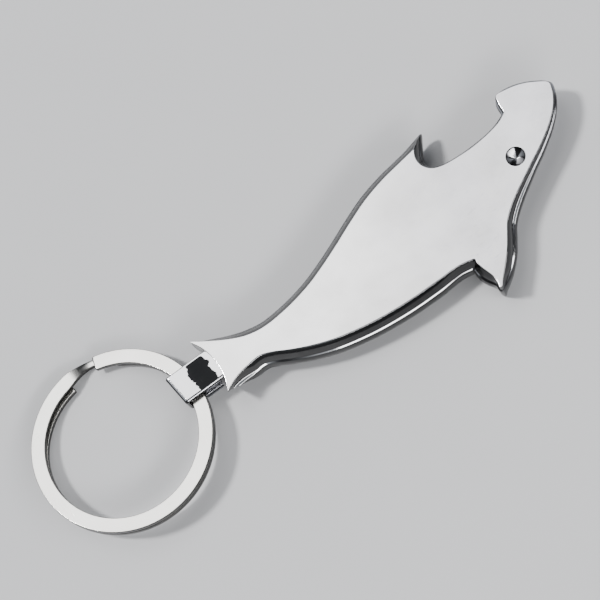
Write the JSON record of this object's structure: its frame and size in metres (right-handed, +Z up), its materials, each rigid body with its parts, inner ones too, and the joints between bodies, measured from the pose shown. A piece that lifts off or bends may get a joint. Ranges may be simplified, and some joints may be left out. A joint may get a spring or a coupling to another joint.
{
  "type": "bottle opener keyring",
  "caption": "Flat dolphin-shaped metal bottle opener with a crown-cap mouth between snout and back fin, on a pivoting link and split key ring.",
  "frame": {"origin": "middle of the footprint of the opener with its link and ring laid out, on the surface it lies on", "axes": "+X from the key ring to the snout, +Y towards the back fin and the opener's mouth, +Z up out of the front face"},
  "size_m": [0.1036, 0.0362, 0.006],
  "materials": {
    "plated_casting": "polished bright nickel plate on a zinc casting",
    "pin_steel": "drawn steel wire, end ground flush",
    "plated_strap": "bright nickel plate, slightly wavy from folding",
    "plated_wire": "satin-bright nickel plate on flat spring wire"
  },
  "bodies": {
    "opener": {"opener_body": "plated_casting", "link_pin": "pin_steel"},
    "link": {"ring_link": "plated_strap"},
    "ring": {"split_ring": "plated_wire"}
  },
  "joints": [
    {"name": "link_swing", "type": "hinge", "parent": "opener", "child": "link", "pos_m": [-0.01606, 0.0025, 0.003], "axis": [0, 1, 0], "range_deg": [-50, 5]},
    {"name": "ring_swing", "type": "hinge", "parent": "link", "child": "ring", "pos_m": [-0.02296, 0.0029, 0.00278], "axis": [0, 1, 0], "range_deg": [-100, 100]}
  ]
}
